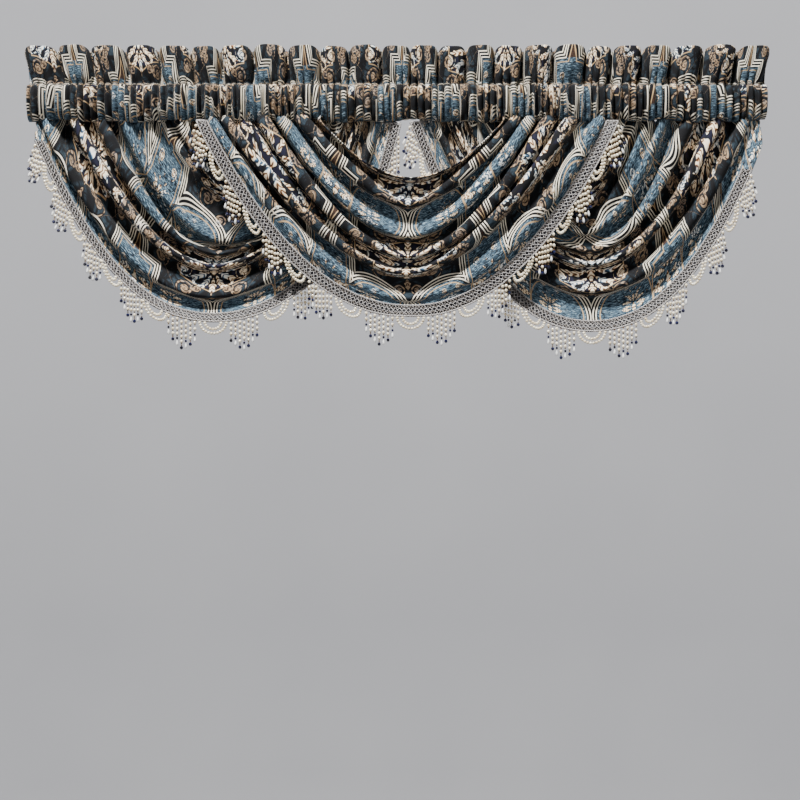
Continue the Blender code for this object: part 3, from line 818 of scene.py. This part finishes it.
def fringe_beads(edge, bare):
    """Every bead of one fringe with its place and the direction of its hole."""
    found = []
    places = bunch_places(edge, bare)
    for back, aside, length in END_STRANDS if bare else ():
        root = edge.at(np.array([edge.end - back]), np.array([BRAID_WIDTH]),
                       np.array([SINGLE_LIFT]))[0]
        root = Vector(root) + Vector((aside * MM, 0.0, 0.0))
        found += strand_beads(root, Vector((0.0, 0.0, -1.0)), length, CRYSTAL, STRAND_START)
    for number, middle in enumerate(places):
        for k, length in enumerate(STRAND_LENGTHS):
            run = middle + (k - MIDDLE_STRAND) * STRAND_PITCH
            root = Vector(edge.at(np.array([run]), np.array([BRAID_WIDTH - SEWN_UP]),
                                  np.array([0.0]))[0])
            tip = CRYSTAL if (k + number) % 2 else DROP
            start = STRAND_START + STRAND_STAGGER * (k % 2)
            found += strand_beads(root, edge.hanging(run), length, tip, start)
    for a, b in zip(places, places[1:]):
        for loop in LOOPS:
            found += loop_beads(edge, (a + b) / 2.0, loop)
    return found


def build_beads(name, beads):
    """All beads of one fringe joined into one mesh."""
    bm = bmesh.new()
    for bead, place, way in beads:
        turn = np.array((-way).to_track_quat("Z", "Y").to_matrix())
        points = bead.points @ turn.T + np.array(place)
        bead.mesh.vertices.foreach_set("co", points.ravel())
        bm.from_mesh(bead.mesh)
    return add_piece(name, bm)


# Finishes

class Value:
    """A socket of a material. Python's operators on it add Math nodes."""

    def __init__(self, dye, socket):
        self.dye = dye
        self.socket = socket

    def __add__(self, other):
        return self.dye.math("ADD", self, other)

    def __radd__(self, other):
        return self.dye.math("ADD", other, self)

    def __sub__(self, other):
        return self.dye.math("SUBTRACT", self, other)

    def __rsub__(self, other):
        return self.dye.math("SUBTRACT", other, self)

    def __mul__(self, other):
        return self.dye.math("MULTIPLY", self, other)

    def __rmul__(self, other):
        return self.dye.math("MULTIPLY", other, self)

    def __truediv__(self, other):
        return self.dye.math("DIVIDE", self, other)

    def __rtruediv__(self, other):
        return self.dye.math("DIVIDE", other, self)

    def __abs__(self):
        return self.dye.math("ABSOLUTE", self)


class Dye:
    """One material: its shader, and a method that adds any node to it."""

    def __init__(self, name, roughness, **plain):
        self.material = bpy.data.materials.new(name)
        self.material.use_nodes = True
        self.tree = self.material.node_tree
        self.shader = self.tree.nodes["Principled BSDF"]
        self.shader.inputs["Roughness"].default_value = roughness
        for key, value in plain.items():
            self.shader.inputs[key.replace("_", " ")].default_value = value

    def feed(self, socket, value):
        """Links a value to a socket, or sets the socket to a number, vector or colour."""
        if isinstance(value, Value):
            self.tree.links.new(value.socket, socket)
        elif isinstance(value, (tuple, list)) and len(socket.default_value) == 4:
            socket.default_value = (*value[:3], 1.0)
        else:
            socket.default_value = value

    def node(self, kind, settings, inputs, output=0):
        """Adds a node: its settings first, with any ramp stops, then its sockets."""
        node = self.tree.nodes.new(kind)
        for key, value in settings.items():
            if key == "stops":
                ramp = node.color_ramp
                while len(ramp.elements) < len(value):
                    ramp.elements.new(0.5)
                for element, (place, colour) in zip(ramp.elements, value):
                    element.position = place
                    element.color = (*colour, 1.0)
            else:
                setattr(node, key, value)
        for key, value in inputs.items():
            self.feed(node.inputs[key], value)
        return Value(self, node.outputs[output])

    def math(self, operation, *values):
        return self.node("ShaderNodeMath", {"operation": operation}, dict(enumerate(values)))

    def vector(self, operation, *values):
        settings = {"operation": operation}
        return self.node("ShaderNodeVectorMath", settings, dict(enumerate(values)))

    def parts(self, vector):
        """The three numbers of a vector."""
        first = self.node("ShaderNodeSeparateXYZ", {}, {0: vector})
        return [Value(self, socket) for socket in first.socket.node.outputs]

    def alike(self, value):
        """A vector with one number three times."""
        return self.node("ShaderNodeCombineXYZ", {}, {0: value, 1: value, 2: value})

    def inside(self, value, soft):
        """1 where a value is above 0 and 0 below it, with a soft step."""
        return self.node("ShaderNodeMapRange", {"clamp": True},
                         {"Value": value, "From Min": -soft, "From Max": soft})

    def blend(self, share, one, two):
        """Colour one where share is 0, and colour two where it is 1."""
        return self.node("ShaderNodeMix", {"data_type": "RGBA"}, {0: share, 6: one, 7: two}, 2)

    def bump(self, height, distance, strength):
        """Raises the threads of the surface a little."""
        normal = self.node("ShaderNodeBump", {}, {"Height": height, "Distance": distance,
                                                  "Strength": strength})
        self.feed(self.shader.inputs["Normal"], normal)


def shade(red, green, blue):
    """A colour as it looks on a screen, from 0 to 255, in the numbers a shader needs."""
    found = []
    for part in (red, green, blue):
        part /= 255.0
        found.append(part / 12.92 if part <= 0.04045 else ((part + 0.055) / 1.055) ** 2.4)
    return tuple(found)


# Leaves of the bouquet in the pattern's units and degrees: root, direction, length, half width
# and curl. The bouquet is drawn for one side and mirrored on its middle line.
Leaf = namedtuple("Leaf", "x y angle length half curl")
LEAVES = [
    Leaf(0, 66, 90, 46, 7.5, 0.0), Leaf(5, 60, 70, 45, 6.5, -1.6), Leaf(8, 50, 50, 47, 7, -2.0),
    Leaf(10, 36, 32, 51, 7.5, -2.3), Leaf(12, 20, 16, 53, 8, -2.4), Leaf(13, 4, 4, 50, 8, -2.2),
    Leaf(13, -10, -12, 50, 8, 2.2), Leaf(11, -24, -28, 48, 7.5, 2.2), Leaf(8, -40, -46, 46, 7, 2.0),
    Leaf(5, -54, -66, 42, 6.5, 1.6), Leaf(0, -62, -90, 46, 7.5, 0.0), Leaf(0, -20, 90, 40, 11, 0.0),
    Leaf(0, 22, 90, 40, 9, 0.0), Leaf(0, -26, -90, 32, 8, 0.0), Leaf(9, 28, 60, 25, 5, -1.0),
    Leaf(9, -30, -60, 25, 5, 1.0), Leaf(50, 58, 50, 27, 6, -1.4), Leaf(64, 34, 30, 25, 6, -1.2),
    Leaf(70, 8, 8, 23, 6, -1.0), Leaf(66, -18, -18, 23, 6, 1.0), Leaf(54, -42, -42, 25, 6, 1.2),
    Leaf(30, -70, -62, 25, 5.5, 1.2), Leaf(26, 84, 70, 25, 5.5, -1.2), Leaf(0, 118, 90, 22, 7, 0.0),
    Leaf(0, -112, -90, 20, 6, 0.0), Leaf(34, 66, 62, 21, 4.5, 1.2), Leaf(40, -58, -52, 21, 4.5, -1.2),
]
# Scrolls: middle, radius, turns to the thin outer end and the way it winds. Those of the
# bouquet lie on every ground, and those beside it and along the bands on navy alone. Then how
# much a scroll grows in one turn and its turns, the lobes of a leaf and how slim it is.
Scroll = namedtuple("Scroll", "x y radius turn hand")
BOUQUET_SCROLLS = [Scroll(30, 96, 15, 0.55, -1)]
SIDE_SCROLLS = [Scroll(62, 62, 21, 0.30, 1), Scroll(88, 22, 15, 0.80, -1)]
BAND_SCROLLS = [Scroll(118, 96, 25, 0.10, 1), Scroll(58, 132, 21, 0.65, -1),
                Scroll(152, 60, 17, 0.45, -1)]
SCROLL_GROWTH = math.log(2.3)
SCROLL_TURNS = 1.7
LOBES = 20.0
LEAF_SLIM = 0.80


def leaf_field(dye, x, y):
    """How deep a point lies in the nearest leaf: above 0 inside it, 1 on its middle line."""
    wide_x, wide_y = dye.alike(x), dye.alike(y)
    best = None
    for start in range(0, len(LEAVES), 3):
        trio = LEAVES[start:start + 3]
        rows = {"ax": [], "ay": [], "a0": [], "nx": [], "ny": [], "n0": [], "curl": []}
        for leaf in trio:
            half = leaf.half * LEAF_SLIM
            c, s = math.cos(math.radians(leaf.angle)), math.sin(math.radians(leaf.angle))
            rows["ax"].append(c / leaf.length)
            rows["ay"].append(s / leaf.length)
            rows["a0"].append(-(leaf.x * c + leaf.y * s) / leaf.length)
            rows["nx"].append(-s / half)
            rows["ny"].append(c / half)
            rows["n0"].append((leaf.x * s - leaf.y * c) / half)
            rows["curl"].append(-leaf.curl * 1.15 / LEAF_SLIM)
        along = dye.vector("MULTIPLY_ADD", wide_x, rows["ax"],
                           dye.vector("MULTIPLY_ADD", wide_y, rows["ay"], rows["a0"]))
        beside = dye.vector("MULTIPLY_ADD", wide_x, rows["nx"],
                            dye.vector("MULTIPLY_ADD", wide_y, rows["ny"], rows["n0"]))
        square = dye.vector("MULTIPLY", along, along)
        bent = dye.vector("ABSOLUTE", dye.vector("MULTIPLY_ADD", square, rows["curl"], beside))
        lobes = dye.vector("SINE", dye.vector("MULTIPLY", along, (LOBES,) * 3))
        width = dye.vector("MULTIPLY_ADD", lobes, (0.9,) * 3, (4.0,) * 3)
        belly = dye.vector("MULTIPLY", dye.vector("SUBTRACT", along, square), width)
        field = dye.vector("SUBTRACT", belly, bent)
        best = field if best is None else dye.vector("MAXIMUM", best, field)
    one, two, three = dye.parts(best)
    return dye.math("MAXIMUM", one, dye.math("MAXIMUM", two, three))


def scroll_field(dye, x, y, scroll):
    """Above 0 on a scroll that winds in to a round end, drawn above and below the middle."""
    beside, over = x - scroll.x, abs(y) - scroll.y
    far = dye.math("SQRT", beside * beside + over * over)
    angle = dye.math("ARCTAN2", over, beside) * (scroll.hand / (2.0 * math.pi)) + scroll.turn
    wound = dye.math("LOGARITHM", far / scroll.radius + 0.0001, math.e) / SCROLL_GROWTH
    off = dye.math("WRAP", wound - angle, 0.5, -0.5)
    length = off - wound
    width = dye.node("ShaderNodeMapRange", {"clamp": True}, {
        "Value": length, "From Min": 0.0, "From Max": 0.9, "To Min": -0.05, "To Max": 0.27})
    arm = (width - abs(off)) * 2.4
    arm = dye.math("MINIMUM", arm, (SCROLL_TURNS - length) * 2.0)
    bulb = 1.0 - far * (1.0 / (scroll.radius * 0.25))
    return dye.math("MAXIMUM", arm, bulb)


def bouquet_place(dye, a, b, high):
    """Place in the nearest bouquet, or in the sprig between two of them."""
    half_a, half_d = REPEAT_ACROSS / 2.0, REPEAT_DOWN / 2.0
    other = b - dye.math("SIGN", b) * half_d
    first = dye.inside(1.0 - a / half_a - high / half_d, 0.004)
    x = a * first + (half_a - a) * (1.0 - first)
    y = b * first + other * (1.0 - first)
    x = x * (1.0 + 0.38 * first)
    y = y * (1.0 + 0.38 * first)
    sprig = dye.inside(x - SPRIG_FROM, 0.1)
    x = x + (abs(x - SPRIG_AT) * 1.6 - x) * sprig
    return x, y + y * sprig * 0.6


def frame_field(dye, a, b, high):
    """How far a point lies outside a lobed frame, with its spires and without them."""
    lobe_x = a - LOBE_AT
    lobe = dye.math("SQRT", lobe_x * lobe_x + b * b) - LOBE_RADIUS
    box = dye.math("MAXIMUM", a - BOX_HALF[0], high - BOX_HALF[1])
    spire = (a / SPIRE_HALF[0] + high / SPIRE_HALF[1] - 1.0) * 33.0
    round_part = dye.math("MINIMUM", lobe, box)
    return dye.math("MINIMUM", round_part, spire), round_part


def motif_field(dye, x, y, a, b, root, bright):
    """Above 0 on leaves and scrolls, which fade towards the edge of a bright ground."""
    fade = dye.node("ShaderNodeMapRange", {"clamp": True}, {
        "Value": root, "From Min": 40.0, "From Max": 92.0, "To Min": 0.12, "To Max": 1.3})
    motif = leaf_field(dye, x, y) - bright * fade
    for scroll in BOUQUET_SCROLLS:
        motif = dye.math("MAXIMUM", motif, scroll_field(dye, x, y, scroll))
    outer = [scroll_field(dye, x, y, scroll) for scroll in SIDE_SCROLLS]
    outer += [scroll_field(dye, a, b, scroll) for scroll in BAND_SCROLLS]
    for scroll in outer:
        motif = dye.math("MAXIMUM", motif, scroll - bright * 2.0)
    return motif


def chenille_grounds(dye, mm):
    """The soft ground threads in blue, teal and umber, and the streaks in them."""
    streak_at = dye.vector("MULTIPLY", mm, (0.10, 0.75, 1.0))
    streak = dye.node("ShaderNodeTexNoise", {"noise_dimensions": "2D"},
                      {"Vector": streak_at, "Scale": 1.0, "Detail": 2.0, "Roughness": 0.65})
    chenille = dye.node("ShaderNodeValToRGB", {"stops": [
        (0.32, shade(8, 13, 22)), (0.44, shade(30, 44, 56)), (0.56, shade(74, 98, 114)),
        (0.70, shade(150, 174, 186))]}, {0: streak})
    coarse = dye.inside(streak - 0.5, 0.16)
    teal = dye.blend(coarse, shade(11, 17, 24), shade(44, 60, 70))
    umber = dye.blend(coarse, shade(22, 14, 12), shade(72, 48, 34))
    return streak, chenille, teal, umber


def leaf_threads(dye, mm, motif, root, quiet):
    """The threads of leaves and scrolls: warm or cool with dark veins, faint on quiet ground."""
    tint = dye.node("ShaderNodeTexNoise", {"noise_dimensions": "2D"},
                    {"Vector": mm, "Scale": 0.028, "Detail": 1.0})
    vein = dye.math("WRAP", root / 9.0 + motif * 0.8, 1.0, 0.0)
    gold = dye.node("ShaderNodeValToRGB", {"stops": [
        (0.00, shade(226, 180, 126)), (0.14, shade(255, 245, 222)), (0.58, shade(250, 224, 182)),
        (0.68, shade(110, 68, 42)), (0.84, shade(26, 16, 14)), (1.00, shade(176, 122, 76))]},
        {0: vein})
    cool = dye.node("ShaderNodeValToRGB", {"stops": [
        (0.00, shade(178, 190, 194)), (0.16, shade(252, 248, 236)), (0.50, shade(222, 222, 214)),
        (0.62, shade(18, 24, 38)), (0.84, shade(38, 64, 88)), (1.00, shade(100, 138, 162))]},
        {0: vein})
    faint = dye.blend(dye.inside(vein - 0.6, 0.2), shade(142, 112, 80), shade(40, 36, 40))
    rich = dye.blend(dye.inside(tint - 0.56, 0.03), gold, cool)
    return dye.blend(quiet * 0.85, rich, faint)


def damask(name):
    """Woven damask: blue chenille frames in triple lines on navy, with leaf bouquets."""
    dye = Dye(name, 0.85, Specular_IOR_Level=0.25, Sheen_Weight=0.02, Sheen_Roughness=0.5)
    flat = dye.node("ShaderNodeUVMap", {"uv_map": "flat_cloth"}, {})
    mm = dye.node("ShaderNodeVectorMath", {"operation": "SCALE"},
                  {0: flat, "Scale": 1.0 / (PATTERN_SCALE * MM)})
    across, down, _ = dye.parts(mm)
    a = dye.math("PINGPONG", across, REPEAT_ACROSS / 2.0)
    b = dye.math("WRAP", down, REPEAT_DOWN / 2.0, -REPEAT_DOWN / 2.0)
    high = abs(b)
    x, y = bouquet_place(dye, a, b, high)
    root = dye.math("SQRT", x * x + y * y)
    frame_edge, round_part = frame_field(dye, a, b, high)
    blue = dye.inside(-1.0 * frame_edge, 0.4)
    bright = dye.inside(-1.0 * round_part, 0.4)
    motif = motif_field(dye, x, y, a, b, root, bright)

    lines = LINE_HALF - abs(dye.math("WRAP", frame_edge, LINE_PITCH / 2.0, -LINE_PITCH / 2.0))
    window = LINES_HALF - abs(frame_edge - LINE_PITCH)
    lines = dye.inside(dye.math("MINIMUM", lines, window), 0.3)
    inner = dye.inside(1.0 - abs(frame_edge - INNER_LINE_AT), 0.3)
    rim = dye.inside(1.1 - abs(frame_edge - RIM_AT), 0.3)
    joint = a / DIAMOND_HALF[0] + (REPEAT_DOWN / 2.0 - high) / DIAMOND_HALF[1]
    diamond = dye.inside(1.0 - joint, 0.05)
    pip = dye.inside(0.45 - joint, 0.05)
    band = dye.inside(BAND_HALF - abs(frame_edge - BAND_AT), 0.4)
    quiet = dye.math("MAXIMUM", band, blue * (1.0 - bright))

    rib = dye.math("SINE", down * (2.0 * math.pi / TWILL_PITCH))
    weave = dye.math("SINE", across * (2.0 * math.pi / TWILL_PITCH))
    streak, chenille, teal, umber = chenille_grounds(dye, mm)
    navy = dye.blend(0.5 + rib * 0.35, shade(9, 9, 22), shade(25, 26, 52))
    thread = dye.blend(0.5 + rib * 0.3, shade(228, 214, 188), shade(255, 249, 232))
    dark = shade(3, 3, 6)
    shaded = dye.blend(blue, teal, umber)
    ground = dye.blend(bright, dye.blend(quiet, navy, shaded), chenille)
    ground = dye.blend(dye.inside(window + 1.2, 0.3), ground, dark)
    ground = dye.blend(dye.inside(motif + 0.30 - bright * 0.12, 0.08), ground, dark)
    ground = dye.blend(lines, ground, thread)
    ground = dye.blend(dye.math("MAXIMUM", inner, rim), ground, shade(182, 152, 112))
    leaf_colour = leaf_threads(dye, mm, motif, root, quiet)
    ground = dye.blend(dye.inside(motif, 0.08), ground, leaf_colour)
    ground = dye.blend(diamond, ground, thread)
    ground = dye.blend(pip, ground, shade(30, 32, 46))
    dye.feed(dye.shader.inputs["Base Color"], ground)
    dye.bump(rib * 0.4 + weave * 0.3 + streak * 0.9, 0.0004, 0.6)
    return dye.material


def yarn(name, dark, light):
    """Twisted metallic yarn of the braid."""
    dye = Dye(name, 0.46, Metallic=0.25)
    place = dye.node("ShaderNodeTexCoord", {}, {}, "Object")
    twist = dye.node("ShaderNodeTexWave", {"wave_type": "BANDS", "bands_direction": "DIAGONAL"},
                     {"Vector": place, "Scale": 260.0, "Distortion": 1.5, "Detail": 1.0})
    dye.feed(dye.shader.inputs["Base Color"], dye.blend(twist, dark, light))
    dye.bump(twist, 0.0003, 0.7)
    return dye.material


def bead_finish(name, roughness, dark, light, **plain):
    """Polished bead, a little uneven in colour from one to the next."""
    dye = Dye(name, roughness, **plain)
    place = dye.node("ShaderNodeTexCoord", {}, {}, "Object")
    cloud = dye.node("ShaderNodeTexNoise", {}, {"Vector": place, "Scale": 160.0, "Detail": 1.0})
    share = dye.node("ShaderNodeMapRange", {"clamp": True},
                     {"Value": cloud, "From Min": 0.35, "From Max": 0.65})
    dye.feed(dye.shader.inputs["Base Color"], dye.blend(share, dark, light))
    return dye.material


# Stage

def build_stage():
    """A plain pale floor that rises all round into a backdrop."""
    bm = bmesh.new()
    verts = [bm.verts.new((x, 0.0, z)) for x, z in BACKDROP]
    for a, b in zip(verts, verts[1:]):
        bm.edges.new((a, b))
    bmesh.ops.spin(bm, geom=bm.verts[:] + bm.edges[:], axis=(0, 0, 1), cent=(0, 0, 0),
                   angle=2.0 * math.pi, steps=64, use_merge=True)
    bmesh.ops.remove_doubles(bm, verts=bm.verts, dist=1e-5)
    bmesh.ops.recalc_face_normals(bm, faces=bm.faces)
    for face in bm.faces:
        face.smooth = True
    floor = add_piece("floor", bm)
    dye = Dye("floor_paint", 0.9)
    place = dye.node("ShaderNodeTexCoord", {}, {}, "Object")
    cloud = dye.node("ShaderNodeTexNoise", {}, {"Vector": place, "Scale": 1.2, "Detail": 2.0})
    dye.feed(dye.shader.inputs["Base Color"],
             dye.blend(cloud, shade(152, 152, 155), shade(161, 161, 163)))
    floor.data.materials.append(dye.material)


def add_light(lamp):
    """A soft light that faces its aim."""
    light = bpy.data.lights.new(lamp.name, "AREA")
    light.shape = "RECTANGLE"
    light.size, light.size_y = lamp.size
    light.energy = lamp.power
    holder = bpy.data.objects.new(lamp.name, light)
    holder.location = lamp.place
    facing = Vector(lamp.aim) - Vector(lamp.place)
    holder.rotation_euler = facing.to_track_quat("-Z", "Y").to_euler()
    bpy.context.scene.collection.objects.link(holder)


def add_camera():
    """The camera, level and square to the show side."""
    lens = bpy.data.cameras.new("camera")
    lens.lens = LENS
    lens.sensor_width = 36.0
    camera = bpy.data.objects.new("camera", lens)
    camera.location = CAMERA_PLACE
    camera.rotation_euler = (math.radians(90.0), 0.0, 0.0)
    bpy.context.scene.collection.objects.link(camera)
    bpy.context.scene.camera = camera


def add_sky():
    """Faint even light from all round."""
    world = bpy.data.worlds.new("pale room")
    world.use_nodes = True
    background = world.node_tree.nodes["Background"]
    background.inputs["Color"].default_value = (0.86, 0.88, 0.92, 1.0)
    background.inputs["Strength"].default_value = 0.05
    bpy.context.scene.world = world


def hang_piece(piece, node, slot, *materials):
    """Puts a piece on the one body in place of its solid, with its finishes."""
    for material in materials:
        piece.data.materials.append(material)
    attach(piece, "root")
    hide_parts(node)


def build_valance():
    """Every piece of the valance with its finishes."""
    cloth = damask("damask_cloth")
    yarns = [yarn("braid_silver", shade(66, 62, 66), shade(206, 201, 196)),
             yarn("braid_taupe", shade(46, 42, 40), shade(142, 132, 122)),
             # The near-black finish of the sheet behind the braid is painted shade for its holes.
             yarn("braid_hole_shade", shade(8, 8, 12), shade(22, 21, 27))]
    beads = [
        bead_finish("pearl", 0.22, shade(216, 198, 164), shade(252, 243, 218),
                    Coat_Weight=0.6, Coat_Roughness=0.10),
        bead_finish("gold_seed", 0.3, shade(58, 42, 30), shade(132, 100, 66), Metallic=0.4),
        bead_finish("dark_crystal", 0.22, shade(7, 8, 16), shade(22, 28, 66),
                    Coat_Weight=0.35, Coat_Roughness=0.12),
        bead_finish("clear_drop", 0.12, shade(232, 232, 228), shade(254, 253, 250),
                    Coat_Weight=0.8, Coat_Roughness=0.05),
    ]
    heading, flat, area = build_heading()
    hang_piece(heading, "heading", "heading_cloth", cloth)
    for side, hang in HANGS.items():
        swag, flat, area = build_swag("swag_" + side + "_cloth", hang)
        edge = Edge(hang)
        braid = build_braid("braid_" + side, edge)
        fringe = build_beads("beads_" + side, fringe_beads(edge, hang.bare))
        hang_piece(swag, "swag_" + side, "swag_cloth", cloth)
        hang_piece(braid, "trim_" + side, "braid_and_beads", *yarns)
        hang_piece(fringe, "trim_" + side, "braid_and_beads", *beads)


build_stage()
add_sky()
for lamp in LAMPS:
    add_light(lamp)
add_camera()
build_valance()
